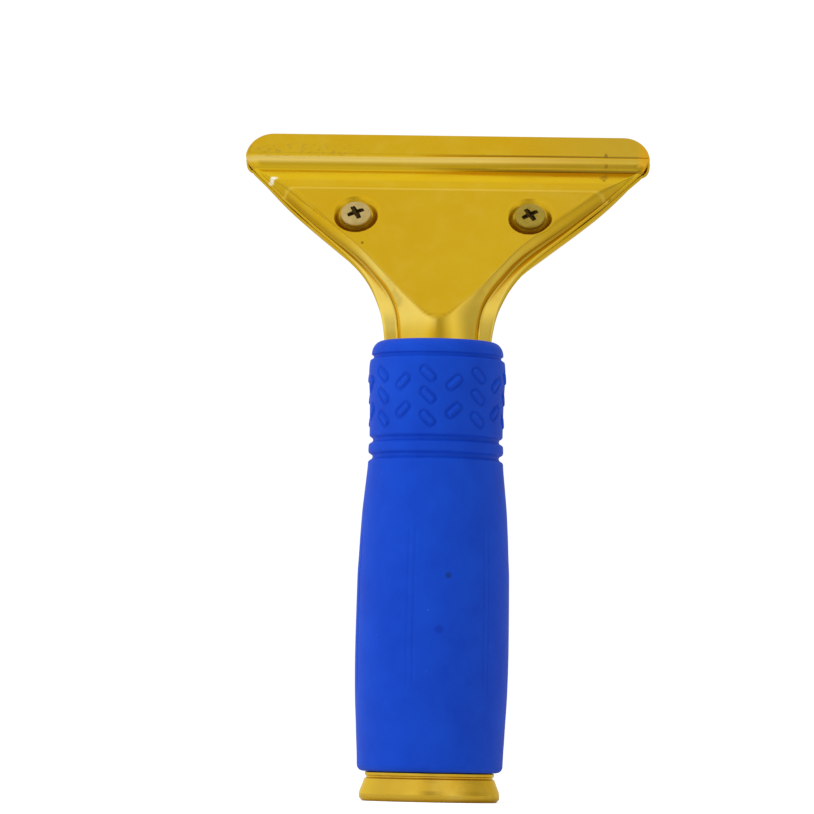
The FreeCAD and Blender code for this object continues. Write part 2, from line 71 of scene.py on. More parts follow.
# Each table holds (run, value).
# Half width of the outline.
OUTLINE = [
    (-60.0, 13.50), (-13.0, 13.50), (-9.0, 13.97), (-6.0, 14.50), (-3.0, 15.20), (0.0, 16.20),
    (2.0, 16.90), (4.0, 17.70), (6.0, 18.70), (8.0, 19.80), (10.0, 21.10), (12.0, 22.70),
    (14.0, 24.40), (16.0, 26.20), (20.0, 30.05), (24.0, 33.95), (28.0, 37.70), (32.0, 41.30),
    (36.0, 44.60), (38.0, 46.20), (40.0, 47.90), (42.0, 49.60), (43.0, 50.50), (44.0, 51.35),
    (45.0, 52.10), (46.0, 52.70), (47.0, 53.05), (48.0, 53.15), (60.0, 53.15)]
# Width of the flat rim beside the raised body.
RIM = [
    (-60.0, 3.40), (-13.0, 3.40), (-9.0, 3.60), (-6.0, 3.90), (-2.0, 3.90), (2.0, 3.20),
    (6.0, 2.40), (9.0, 2.10), (14.0, 2.10), (18.0, 1.60), (22.0, 1.40), (26.0, 1.20),
    (30.0, 1.0), (34.0, 0.8), (60.0, 0.8)]
# Centre of the front's raised body in x: a little to the left halfway up.
BODY_SHIFT = [
    (-60.0, 0.0), (2.0, 0.0), (9.0, -0.35), (14.0, -0.55), (18.0, -0.65), (26.0, -0.50),
    (32.0, -0.20), (38.0, 0.0), (60.0, 0.0)]
# Inner and outer exponents of the body's cross-section.
SWELL_INNER = [
    (-60.0, 2.0), (-4.4, 2.0), (-1.4, 3.0), (1.0, 4.3), (4.1, 6.2), (8.6, 8.5), (60.0, 9.0)]
SWELL_OUTER = [
    (-60.0, 0.62), (-11.0, 0.62), (-7.0, 0.80), (-4.4, 0.92), (-1.4, 0.66), (1.0, 0.50),
    (4.1, 0.50), (8.6, 0.44), (60.0, 0.42)]


# ------------------------------------------------------------------ curve helpers
def blend(start, end, amount):
    return start + (end - start) * amount


def smoothstep(start, end, value):
    part = np.clip((value - start) / (end - start), 0.0, 1.0)
    return part * part * (3 - 2 * part)


def soft_min(first, second, width):
    part = np.clip(0.5 + 0.5 * (second - first) / width, 0.0, 1.0)
    return second * (1 - part) + first * part - width * part * (1 - part)


def soft_max(first, second, width):
    return -soft_min(-first, -second, width)


def blur(values, sigma, step, reach):
    """Gaussian smoothing of samples `step` apart, `reach` samples to each side."""
    kernel = np.exp(-0.5 * (np.arange(-reach, reach + 1) * step / sigma) ** 2)
    kernel /= kernel.sum()
    return np.convolve(np.pad(values, reach, mode="edge"), kernel, mode="valid")


def smooth_curve(table, sigma, step=0.05):
    """Function of run through a smoothed table."""
    runs = np.arange(-60.0, 60.001, step)
    table = np.array(table)
    values = blur(np.interp(runs, table[:, 0], table[:, 1]), sigma, step, int(sigma * 4 / step))
    return lambda run: np.interp(run, runs, values)


plain_half = smooth_curve(OUTLINE, sigma=0.9)
rim_width = smooth_curve(RIM, sigma=1.5)
body_shift = smooth_curve(BODY_SHIFT, sigma=2.0)
swell_inner = smooth_curve(SWELL_INNER, sigma=1.2)
swell_outer = smooth_curve(SWELL_OUTER, sigma=1.2)


# ------------------------------------------------------------------ head surfaces
def run_at(z):
    """Run at height z below the bend."""
    return z - BEND_Z + BEND_RUN


def unrolled_z(run):
    """Height the run would have if the sheet were straight."""
    return run - BEND_RUN + BEND_Z


def middle(run):
    """Point (y, z) of the middle surface and its front normal (y, z)."""
    angle = np.clip(TILT + run / BEND_RADIUS, 0.0, TILT)
    above = np.maximum(run, 0)
    y = BEND_RADIUS * (1 - np.cos(angle)) + above * math.sin(TILT)
    z = (BEND_Z + BEND_RADIUS * np.sin(angle) + above * math.cos(TILT)
         + np.minimum(run - BEND_RUN, 0))
    return y, z, -np.cos(angle), np.sin(angle)


def place(x, run, height):
    y, z, normal_y, normal_z = middle(run)
    return np.stack([x, y + height * normal_y, z + height * normal_z], axis=-1) * MM


def lip_half(run):
    """Half width of the outline with the lip's rounded ends."""
    end = END_X + END_WIDTH * np.sqrt(np.clip(1 - ((run - END_RUN) / END_RISE) ** 2, 0, 1))
    return np.where(run > END_RUN, end, plain_half(run))


def shell_half(run, front):
    """Half width of a shell, stepped in at the neck; the front plate ends in a tab."""
    half = lip_half(run)
    z = unrolled_z(run)
    half = np.where(z < 114.5, blend(12.2, half, smoothstep(111.7, 113.6, z)), half)
    if front:
        half = np.where(z < 112.2, blend(9.9, half, smoothstep(111.15, 111.5, z)), half)
    return half


def body_half(run):
    return plain_half(run) - rim_width(run)


def gap(run):
    return blend(NECK_GAP, JAW_GAP, smoothstep(21.0, 30.5, run))


def wobble(x, run, seed, waves=14):
    """Slow unevenness of the pressed sheet, within -1 to 1."""
    random = np.random.RandomState(seed)
    total = np.zeros_like(x)
    for _ in range(waves):
        rate_x, rate_run = random.uniform(-0.30, 0.30), random.uniform(-0.30, 0.30)
        total += random.uniform(0.3, 1.0) * np.sin(
            rate_x * x + rate_run * run + random.uniform(0, 6.28))
    return total / waves


def swell(across, run):
    """Body cross-section: 1 in the middle, 0 where across reaches 1."""
    inside = np.maximum(1 - np.clip(across, 0, 1) ** swell_inner(run), 0.0)
    return inside ** swell_outer(run)


def panel_height(run):
    """Height of the flat panel, which stays parallel to the jaw plane through the bend."""
    y, z, normal_y, normal_z = middle(run)
    plane_y, plane_z = -math.cos(TILT), math.sin(TILT)
    off_plane = (y - BEND_TOP_Y) * plane_y + (z - BEND_TOP_Z) * plane_z
    facing = normal_y * plane_y + normal_z * plane_z
    return (PANEL_HEIGHT - off_plane) / np.maximum(0.3, facing)


def bead(x, run, front):
    """Bead on the lip; on the front it is crisp at the right and washed out at the left."""
    crisp = smoothstep(-14.0, 24.0, x) if front else 1.0
    away = np.abs(run - BEAD_RUN)
    sharp = soft_max(BEAD_HEIGHT * (1 - (away / BEAD_HALF) ** 2.2), 0.0, 0.08)
    worn = np.clip(away / (BEAD_HALF * 1.30), 0, 1)
    soft = 0.72 * BEAD_HEIGHT * 0.5 * (1 + np.cos(math.pi * worn))
    crease = 0.16 * np.exp(-((away - BEAD_HALF - 0.12) / 0.30) ** 2)
    near_end = 0.70 + 0.30 * smoothstep(0.7, 2.8, lip_half(run) - np.abs(x))
    return (crisp * (sharp - crease) + (1 - crisp) * soft) * near_end


def outer_height(x, run, front):
    """Distance of a shell's outer face from the middle surface."""
    base = gap(run) + SHEET
    z = unrolled_z(run)
    half = np.where(z < NECK_Z, NECK_BODY_HALF, body_half(run))
    if front:
        centre = body_shift(run)
        crest = blend(CREST_HEIGHT, FRONT_NECK_CREST, smoothstep(112.0, 107.5, z))
        cap = np.where(run > BEND_RUN - 4, panel_height(run), UNCAPPED)
    else:
        centre = 0.0 * run
        neck = smoothstep(112.5, 107.0, z)
        crest = blend(CREST_HEIGHT, REAR_NECK_CREST, neck)
        half = half + 1.5 * neck
        flattened = blend(CREST_HEIGHT, PANEL_HEIGHT, smoothstep(-12.0, 4.0, run))
        cap = np.where(z > 113.0, flattened, UNCAPPED)
    body = blend(base, crest, swell(np.abs(x - centre) / half, run))
    body = soft_min(body, cap, 0.32)
    ramp = base + (PANEL_HEIGHT - base) * (RAMP_TOP - run) / (RAMP_TOP - RAMP_FOOT)
    body = np.where(run > 20, soft_min(body, np.maximum(ramp, base - 1.0), 0.6), body)
    height = soft_max(base, body, 0.45) + bead(x, run, front)
    # flat seats under the screws
    for side in (-1, 1):
        seat = 1 - smoothstep(4.25, 6.4, np.hypot(x - side * SCREW_X, run - SCREW_RUN))
        height = height * (1 - seat) + SEAT_HEIGHT * seat
    uneven = 0.05 * wobble(x, run, 3 if front else 5)
    return height + uneven * smoothstep(BEND_RUN - 6, BEND_RUN + 2, run)


def inner_height(x, run, front, outer, probe=0.15):
    """Inner face: one sheet thickness in, measured square to the slope."""
    slope_x = (outer_height(x + probe, run, front)
               - outer_height(x - probe, run, front)) / (2 * probe)
    slope_run = (outer_height(x, run + probe, front)
                 - outer_height(x, run - probe, front)) / (2 * probe)
    slope = np.minimum(2.0, np.hypot(slope_x, slope_run))
    return np.maximum(gap(run), outer - SHEET * np.sqrt(1 + slope * slope))


# ------------------------------------------------------------------ mesh helpers
def add_object(name, data):
    part = bpy.data.objects.new(name, data)
    bpy.context.scene.collection.objects.link(part)
    return part


def shade_smooth(mesh):
    for face in mesh.polygons:
        face.use_smooth = True


def mesh_object(name, verts, faces):
    mesh = bpy.data.meshes.new(name)
    mesh.from_pydata([tuple(vert) for vert in verts], [], faces)
    mesh.validate()
    work = bmesh.new()
    work.from_mesh(mesh)
    bmesh.ops.remove_doubles(work, verts=work.verts, dist=2e-7)
    bmesh.ops.recalc_face_normals(work, faces=work.faces)
    work.to_mesh(mesh)
    work.free()
    shade_smooth(mesh)
    return add_object(name, mesh)


def grid_cells(rows, cols, wrap_rows=False, wrap_cols=False):
    """Vertex indices round each cell: here, next column, diagonal, next row."""
    for i in range(rows if wrap_rows else rows - 1):
        next_row = (i + 1) % rows
        for j in range(cols if wrap_cols else cols - 1):
            next_col = (j + 1) % cols
            yield (i * cols + j, i * cols + next_col,
                   next_row * cols + next_col, next_row * cols + j)


def cut(part, cutters):
    """Subtracts the cutters, bakes the result and removes them."""
    for cutter in cutters:
        modifier = part.modifiers.new("cut", "BOOLEAN")
        modifier.operation = "DIFFERENCE"
        modifier.solver = "EXACT"
        modifier.object = cutter
    depsgraph = bpy.context.evaluated_depsgraph_get()
    depsgraph.update()
    baked = bpy.data.meshes.new_from_object(part.evaluated_get(depsgraph))
    part.modifiers.clear()
    old = part.data
    part.data = baked
    bpy.data.meshes.remove(old)
    for cutter in cutters:
        bpy.data.objects.remove(cutter)


def fit(part, piece, carrier):
    """Puts a finished part in place of its CAD piece."""
    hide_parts(piece)
    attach(part, carrier)


# ------------------------------------------------------------------ pressed shells
def edge_distance(grid_x, rows, halves, reach=1.5):
    """Distance of every grid point to the shell's outline."""
    outline = np.stack([np.concatenate([-halves, halves[::-1], [-halves[0]]]),
                        np.concatenate([rows, rows[::-1], [rows[0]]])], 1)
    ends, starts = outline[1:], outline[:-1]
    distance = np.empty(grid_x.shape)
    for i, run in enumerate(rows):
        near = ((np.maximum(starts[:, 1], ends[:, 1]) > run - reach)
                & (np.minimum(starts[:, 1], ends[:, 1]) < run + reach))
        start = starts[near]
        edge = ends[near] - start
        points = np.stack([grid_x[i], np.full_like(grid_x[i], run)], 1)
        offset = points[:, None, :] - start[None]
        length_sq = np.maximum((edge * edge).sum(1)[None], 1e-12)
        part = np.clip((offset * edge[None]).sum(2) / length_sq, 0, 1)
        distance[i] = np.sqrt(((offset - part[..., None] * edge[None]) ** 2).sum(2)).min(1)
    return distance


def shell_rows(foot_z):
    """Runs of the grid rows: close at the foot edge, the bead and the rounded ends."""
    foot = run_at(foot_z)
    rows = [foot + inset for inset in EDGE_INSETS]
    run = foot + 0.9
    while run < END_RUN - 0.1:
        rows.append(run)
        run += 0.50 if run < 42.5 else 0.20
    rows += [END_RUN + END_RISE * math.sin(angle) for angle in np.linspace(0, math.pi / 2, 44)]
    return np.array(rows)


def shell_columns(rows, halves, front):
    """x of the grid points in each row: rounded edge, rim, body, rim, rounded edge."""
    rim = rim_width(rows)
    centres = body_shift(rows) if front else 0 * rows
    bodies = np.where(unrolled_z(rows) < NECK_Z, NECK_BODY_HALF, halves - rim)
    bodies = np.minimum(bodies, halves - 0.45)
    even = np.linspace(-1, 1, 181)
    body_steps = np.sign(even) * (1 - (1 - np.abs(even)) ** 1.35)    # closer at the sides
    rim_steps = np.linspace(0, 1, 7)[:-1]
    grid_x = []
    for half, body, centre in zip(halves, bodies, centres):
        insets = EDGE_INSETS * min(1.0, (half - body - abs(centre)) * 0.8 / EDGE_RADIUS)
        left_rim = -half + insets[-1]
        right_rim = half - insets[-1]
        left_body = max(-body + centre, left_rim + 0.02)
        right_body = min(body + centre, right_rim - 0.02)
        grid_x.append(np.concatenate([
            -half + insets[:-1],
            blend(left_rim, left_body, rim_steps),
            (right_body + left_body) / 2 + body_steps * (right_body - left_body) / 2,
            blend(right_rim, right_body, rim_steps)[::-1],
            (half - insets[:-1])[::-1]]))
    return np.array(grid_x)


def screw_hole(x, run, radius, side):
    """Cutting cylinder square to the jaw plane."""
    y, z, normal_y, normal_z = [float(value) for value in middle(np.array(run))]
    normal = Vector((0, normal_y, normal_z))
    work = bmesh.new()
    bmesh.ops.create_cone(work, cap_ends=True, segments=48, radius1=radius * MM,
                          radius2=radius * MM, depth=6 * MM)
    mesh = bpy.data.meshes.new("c")
    work.to_mesh(mesh)
    work.free()
    cutter = add_object("c", mesh)
    turn = normal.to_track_quat("Z", "Y").to_matrix().to_4x4()
    centre = Vector((x, y, z)) * MM + normal * (side * 4.6 * MM)
    cutter.matrix_world = Matrix.Translation(centre) @ turn
    return cutter


def pressed_shell(name, front, foot_z):
    side = 1 if front else -1
    rows = shell_rows(foot_z)
    halves = shell_half(rows, front)
    grid_x = shell_columns(rows, halves, front)
    row_count, col_count = grid_x.shape
    grid_run = np.repeat(rows[:, None], col_count, axis=1)
    outer = outer_height(grid_x, grid_run, front)
    inner = inner_height(grid_x, grid_run, front, outer)
    # both faces roll over towards each other at the outline
    radius = np.minimum(EDGE_RADIUS, (outer - inner) * 0.45)
    part = np.clip(1 - edge_distance(grid_x, rows, halves) / radius, 0, 1)
    drop = radius - np.sqrt(np.maximum(radius * radius - (part * radius) ** 2, 0))
    verts = np.concatenate([place(grid_x, grid_run, side * (outer - drop)).reshape(-1, 3),
                            place(grid_x, grid_run, side * (inner + drop)).reshape(-1, 3)])
    first_inner = row_count * col_count
    faces = []
    for cell in grid_cells(row_count, col_count):
        faces.append(cell)
        faces.append(tuple(first_inner + index for index in cell[::-1]))
    # the wall that joins the two faces round the outline
    border = [(0, j) for j in range(col_count)]
    border += [(i, col_count - 1) for i in range(1, row_count)]
    border += [(row_count - 1, j) for j in range(col_count - 2, -1, -1)]
    border += [(i, 0) for i in range(row_count - 2, 0, -1)]
    border = [i * col_count + j for i, j in border]
    for here, after in zip(border, border[1:] + border[:1]):
        faces.append((after, here, first_inner + here, first_inner + after))
    shell = mesh_object(name, verts, faces)
    hole_run = SCREW_RUN + (0.34 if front else 0.0)
    hole_radius = 2.75 if front else 2.15
    holes = [screw_hole(hand * SCREW_X, hole_run, hole_radius, side) for hand in (-1, 1)]
    bpy.context.view_layer.update()
    cut(shell, holes)
    shade_smooth(shell.data)
    return shell


def store_attribute(mesh, name, values):
    attribute = mesh.attributes.new(name, "FLOAT", "POINT")
    attribute.data.foreach_set("value", values.astype(np.float32))


def mark_folds(part):
    """Stores for the front plate's material where its folds get painted shade and its flanks a
    painted sheen.
    """
    coords = np.empty(len(part.data.vertices) * 3)
    part.data.vertices.foreach_get("co", coords)
    x, y, z = (coords.reshape(-1, 3) / MM).T
    run = (y - BEND_TOP_Y) * math.sin(TILT) + (z - BEND_TOP_Z) * math.cos(TILT)
    bend_run = (np.arctan2(z - BEND_Z, BEND_RADIUS - y) - TILT) * BEND_RADIUS
    run = np.where(run < 0, np.where(z > BEND_Z, bend_run, run_at(z)), run)
    base = gap(run) + SHEET
    half = body_half(run)
    away = np.abs(x - body_shift(run))
    body = blend(base, CREST_HEIGHT, swell(away / half, run))
    cap = panel_height(run)
    # painted shade along the ridge (the edge of the panel) and the valley (the foot of the body
    # along the rim)
    ridge = np.exp(-((body - cap) / 0.17) ** 2)
    ridge = ridge * (smoothstep(-10.5, -8.0, run) * (1 - smoothstep(24.0, 31.0, run)))
    valley = np.exp(-((away - half) / 0.30) ** 2)
    valley = valley * smoothstep(-9.5, -7.0, run) * (1 - smoothstep(31.0, 36.0, run))
    store_attribute(part.data, "fold_shade", np.clip(0.70 * ridge + 0.9 * valley, 0, 1))
    # painted sheen on the slopes beside the panel and on the low rims, stronger on the left
    slope = smoothstep(0.05, 0.5, np.where(away < half, cap - body, 1.0))
    zone = smoothstep(-10.0, -6.0, run) * (1 - smoothstep(6.0, 17.0, run))
    rim = np.where(away > half + 0.3, 1 - smoothstep(4.0, 12.0, run), 0.0)
    flank_sheen = np.where(x < 0, 0.76, 0.12) * slope * zone + 0.40 * rim
    store_attribute(part.data, "flank_sheen", np.clip(flank_sheen, 0, 0.76))


plate = pressed_shell("front_plate_mesh", front=True, foot_z=PLATE_FOOT_Z)
mark_folds(plate)
fit(plate, "front_clamp_plate", "clamp_plate")
rear = pressed_shell("rear_shell_mesh", front=False, foot_z=REAR_FOOT_Z)
fit(rear, "rear_shell", "handle")

# ------------------------------------------------------------------ rubber grip
GRIP_FOOT_Z, FOOT_ROUND_Z, FOOT_ROUND = 7.5, 9.2, 1.7
DOME_Z, GRIP_TOP_Z, DOME_RADIUS, DOME_INSET = 113.9, 117.3, 16.85, 2.75
BORE_RADIUS, SOCKET_RADIUS = 14.03, 15.03    # the wider socket takes the ferrule's sleeve
COLUMNS = 500                                # grid columns round the grip

# (radius, z) up the outside of the grip, without grooves, foot rounding and dome
GRIP = np.array([
    (18.56, 9.3), (18.7, 12.8), (18.9, 16.6), (19.07, 20.5), (19.3, 24.3), (19.44, 28.2),
    (19.54, 33.0), (19.58, 38.0), (19.55, 43.0), (19.47, 50.0), (19.35, 58.5), (19.08, 62.7),
    (18.92, 66.6), (18.69, 70.4), (18.46, 74.2), (18.05, 78.1), (17.66, 81.9), (17.32, 85.0),
    (17.02, 93.2), (17.06, 98.0), (17.15, 103.0), (17.42, 107.0), (17.5, 110.5), (17.3, 112.0),
    (16.85, 114.5), (16.85, 118.0)])
GROOVES = [(87.6, 0.85, 1.05), (91.9, 0.80, 0.95), (113.15, 0.62, 0.80)]  # z, half width, depth
# (start, stop, step) of the evenly spaced grid rows in z
ROW_SPANS = [(9.7, 26.0, 0.8), (26.0, 71.5, 0.7), (72.2, 85.6, 0.8), (85.8, 93.4, 0.15),
             (93.5, 112.0, 0.20), (112.1, DOME_Z, 0.12)]

# Collar pads in columns that alternate between three and two; (angle, z, lean).
# Lean 1 slants like a backslash seen from outside, -1 like a slash.
PAD_COLUMNS = 16
PADS = []
for column in range(PAD_COLUMNS):
    pad_angle = -4.3 + 360.0 / PAD_COLUMNS * (column - 2)
    pad_heights, lean = ((108.1, 102.6, 96.8), 1) if column % 2 == 0 else ((106.0, 98.9), -1)
    PADS += [(pad_angle, pad_z, lean) for pad_z in pad_heights]
PAD_HALF_LENGTH, PAD_HALF_WIDTH, PAD_CORNER = 2.05, 0.80, 0.72
PAD_SLANT = math.radians(43.0)
RIBS = [-13.7 + 60.0 * i for i in range(6)]   # angles of the sleeve's double lines


def grip_radius(z):
    """Outer radius against height."""
    step = 0.1
    heights = np.arange(0.0, 120.0, step)
    plain = blur(np.interp(heights, GRIP[:, 1], GRIP[:, 0]), 1.3, step, 40)
    radius = np.interp(z, heights, plain)
    for centre, width, depth in GROOVES:
        radius = radius - depth * np.exp(-(np.abs(z - centre) / width) ** 3.2)
    # the band between the two lower grooves is slightly crowned
    radius = radius + 0.10 * np.clip(1 - ((z - 89.75) / 1.7) ** 2, 0, 1)
    part = np.clip((z - DOME_Z) / (GRIP_TOP_Z - DOME_Z), 0, 1)
    dome = DOME_RADIUS - DOME_INSET * (1 - np.sqrt(np.maximum(1 - part * part, 0)))
    radius = np.where(z > DOME_Z, dome, radius)
    part = np.clip((FOOT_ROUND_Z - z) / (FOOT_ROUND_Z - GRIP_FOOT_Z), 0, 1)
    foot = radius - FOOT_ROUND * (1 - np.sqrt(np.maximum(1 - part * part, 0)))
    return np.where(z < FOOT_ROUND_Z, foot, radius)


def arc_from(angles, centre, radius):
    """Signed arc length from the angle `centre`, all angles in degrees."""
    return np.radians((angles - centre + 180.0) % 360.0 - 180.0) * radius


def grip_relief(angles, z):
    """Collar pads with their moats and the sleeve's shallow double lines."""
    relief = np.zeros_like(z)
    cos_slant, sin_slant = math.cos(PAD_SLANT), math.sin(PAD_SLANT)
    for centre, pad_z, lean in PADS:
        across = arc_from(angles, centre, 17.3)
        rise = z - pad_z
        near = (np.abs(across) < 4.2) & (np.abs(rise) < 4.2)
        across, rise = across[near], rise[near]
        lengthwise = across * cos_slant - lean * rise * sin_slant
        sideways = lean * across * sin_slant + rise * cos_slant
        past_end = np.abs(lengthwise) - (PAD_HALF_LENGTH - PAD_CORNER)
        past_side = np.abs(sideways) - (PAD_HALF_WIDTH - PAD_CORNER)
        # signed distance to the pad's rounded rectangle
        distance = (np.hypot(np.maximum(past_end, 0), np.maximum(past_side, 0))
                    + np.minimum(np.maximum(past_end, past_side), 0) - PAD_CORNER)
        moat = -0.38 * (1 - smoothstep(0.10, 0.55, np.abs(distance - 0.28)))
        core = 0.30 * (1 - smoothstep(-0.55, 0.15, distance))
        relief[near] += moat + core
    fade = smoothstep(26.0, 31.0, z) * (1 - smoothstep(66.0, 71.0, z))
    for centre in RIBS:
        across = arc_from(angles, centre, 19.3)
        lines = -0.16 * np.exp(-((np.abs(across) - 0.80) / 0.22) ** 2)
        relief += (lines + 0.05 * np.exp(-(across / 0.7) ** 4)) * fade
    return relief


def mouth_radius(angles):
    """Outline of the mouth round the neck: bumps front and back, rim slots left and right."""
    turns = np.radians(angles)
    reach = np.linspace(4.0, 15.5, 500)
    radius = np.empty_like(angles)
    for i, (toward_x, toward_y) in enumerate(zip(np.sin(turns), -np.cos(turns))):
        x, y = toward_x * reach, toward_y * reach
        bump_height = np.where(y < 0, 8.5, 8.2)
        across = np.clip(np.abs(x) / 10.75, 0, 1)
        bump = 1.3 + (bump_height - 1.3) * np.maximum(1 - across ** 2, 0) ** 0.6
        inside = (np.abs(y) < 1.6) & (np.abs(x) < 14.05)
        inside |= (np.abs(y) < bump) & (across < 1)
        radius[i] = reach[inside].max() if inside.any() else reach[0]
    kernel = np.array([1, 2, 3, 2, 1], float)
    kernel /= kernel.sum()
    wrapped = np.concatenate([radius[-2:], radius, radius[:2]])
    return np.maximum(radius, np.convolve(wrapped, kernel, mode="valid"))


def build_grip():
    angles = np.arange(COLUMNS) * 360.0 / COLUMNS - 180.0     # 0 at the front
    # the dome's rows crowd towards its top, where it is steepest
    dome_rows = DOME_Z + (GRIP_TOP_Z - DOME_Z) * np.sin(np.linspace(0, 1, 22) * math.pi / 2)
    heights = np.sort(np.concatenate(
        [np.linspace(GRIP_FOOT_Z, FOOT_ROUND_Z, 12)]
        + [np.arange(*span) for span in ROW_SPANS] + [dome_rows[1:]]))
    grid_angle, grid_z = np.meshgrid(angles, heights)
    grid_radius = grip_radius(grid_z) + grip_relief(grid_angle, grid_z)
    mouth = mouth_radius(angles)
    # (radius, z) rings over the small lip at the mouth, then down the inside
    rings = [(grid_radius[-1] * (1 - part) + (mouth + 0.30) * part,
              GRIP_TOP_Z + 0.10 * math.sin(part * math.pi)) for part in (0.25, 0.5, 0.75, 0.93)]
    rings += [(mouth + 0.08, 117.22), (mouth, 117.0), (mouth, 115.0), (mouth, 112.2)]
    rings += [(BORE_RADIUS, z) for z in (112.0, 100.0, 85.0, 60.0, 40.0, 25.0, 18.25)]
    rings += [(SOCKET_RADIUS, z) for z in (18.25, 12.0, 7.8)]
    rings += [(15.3, GRIP_FOOT_Z)]
    radius = np.vstack([grid_radius] + [np.broadcast_to(ring, COLUMNS) for ring, _ in rings])
    height = np.vstack([grid_z] + [np.full(COLUMNS, z) for _, z in rings])
    turns = np.radians(angles)[None, :]
    verts = np.stack([radius * np.sin(turns), -radius * np.cos(turns), height], axis=-1) * MM
    faces = list(grid_cells(len(radius), COLUMNS, wrap_rows=True, wrap_cols=True))
    return mesh_object("rubber_grip_mesh", verts.reshape(-1, 3), faces)


grip = build_grip()
fit(grip, "rubber_grip", "handle")

# ------------------------------------------------------------------ end ferrule
# closed profile as (radius, z, corner radius); 0 keeps the corner sharp
FERRULE = [
    (13.6, 0.0, 0.3), (17.1, 0.0, 0.7), (17.92, 0.9, 0.5), (17.95, 1.9, 1.0), (17.75, 2.8, 2.0),
    (17.35, 3.8, 2.0), (16.95, 4.8, 2.0), (16.65, 5.7, 0.18), (16.10, 6.05, 0.12),
    (16.15, 6.35, 0.12), (16.48, 6.55, 0.22), (16.50, 7.25, 0.2), (16.2, 7.44, 0.15),
    (15.0, 7.45, 0), (15.0, 18.0, 0), (BORE_RADIUS, 18.0, 0), (BORE_RADIUS, 1.47, 0),
    (12.8, 1.47, 0), (12.8, 0.75, 0)]


def round_profile(corners, segments=6):
    """Replaces each corner that has a radius by a curve."""
    points = []
    for i, (radius, z, fillet) in enumerate(corners):
        if not fillet:
            points.append((radius, z))
            continue
        corner = np.array((radius, z))
        back = np.array(corners[i - 1][:2]) - corner
        ahead = np.array(corners[(i + 1) % len(corners)][:2]) - corner
        back_length, ahead_length = np.linalg.norm(back), np.linalg.norm(ahead)
        back, ahead = back / back_length, ahead / ahead_length
        angle = math.acos(max(-1, min(1, float(back @ ahead))))
        setback = min(fillet / math.tan(angle / 2), back_length * 0.48, ahead_length * 0.48)
        start, end = corner + back * setback, corner + ahead * setback
        for k in range(segments + 1):
            part = k / segments
            points.append(tuple((1 - part) ** 2 * start + 2 * part * (1 - part) * corner
                                + part * part * end))
    return np.array(points)


def build_ferrule(segments=192):
    profile = round_profile(FERRULE)
    turns = np.arange(segments) * 2 * math.pi / segments
    verts = np.empty((segments, len(profile), 3))
    verts[..., 0] = np.cos(turns)[:, None] * profile[:, 0]
    verts[..., 1] = np.sin(turns)[:, None] * profile[:, 0]
    verts[..., 2] = profile[:, 1]
    cells = grid_cells(segments, len(profile), wrap_rows=True, wrap_cols=True)
    return mesh_object("end_ferrule_mesh", (verts * MM).reshape(-1, 3),
                       [(a, d, c, b) for a, b, c, d in cells])


ferrule = build_ferrule()
fit(ferrule, "end_ferrule", "handle")

# ------------------------------------------------------------------ clamp screws
HEAD_RADIUS, HEAD_ROUND, HEAD_SHOULDER = 4.0, 0.45, 0.7
THREAD_CREST, THREAD_ROOT, THREAD_STEP = 1.98, 1.74, 0.175


def crown_z(radius):
    """Height of the uncut head's domed top."""
    return HEAD_SHOULDER + 0.80 * math.sqrt(1 - (min(radius, 4.3) / 4.35) ** 2) - 0.02


def screw_profile():
    """(radius, z) from the axis over the head and down the shank, and the crown's count."""
    crown = [(radius, crown_z(radius)) for radius in
             np.concatenate([np.linspace(0, 2.9, 34), np.linspace(3.0, 3.6, 8)])]
    side = []
    for degrees in np.linspace(35, 90, 7):
        angle = math.radians(degrees)
        side.append((3.55 + HEAD_ROUND * math.sin(angle),
                     HEAD_SHOULDER + 0.42 * math.cos(angle)))
    side += [(HEAD_RADIUS, 0.45), (HEAD_RADIUS, 0.10), (3.9, 0.0), (2.4, 0.0),
             (THREAD_CREST, 0.0)]
    thread = []
    z = -0.4
    while z > -15.2:
        thread.append((THREAD_CREST if len(thread) % 2 == 0 else THREAD_ROOT, z))
        z -= THREAD_STEP
    tip = [(1.75, -15.4), (1.4, -16.0), (0.0, -16.0)]
    return np.array(crown + side + thread + tip), len(crown)


def recess_depth(x, y, radius):
    """Cross recess: four tapering wings and a deeper centre."""
    near = np.minimum(np.abs(x), np.abs(y))
    far = np.maximum(np.abs(x), np.abs(y))
    wall = 1 - smoothstep(-0.10, 0.12, near - (0.66 - 0.07 * far))
    reach = 1 - smoothstep(2.05, 2.35, far)
    wings = (1.55 - 0.42 * far) * wall * reach
    return np.maximum(wings, 1.5 * (1 - smoothstep(0.75, 1.05, radius)))


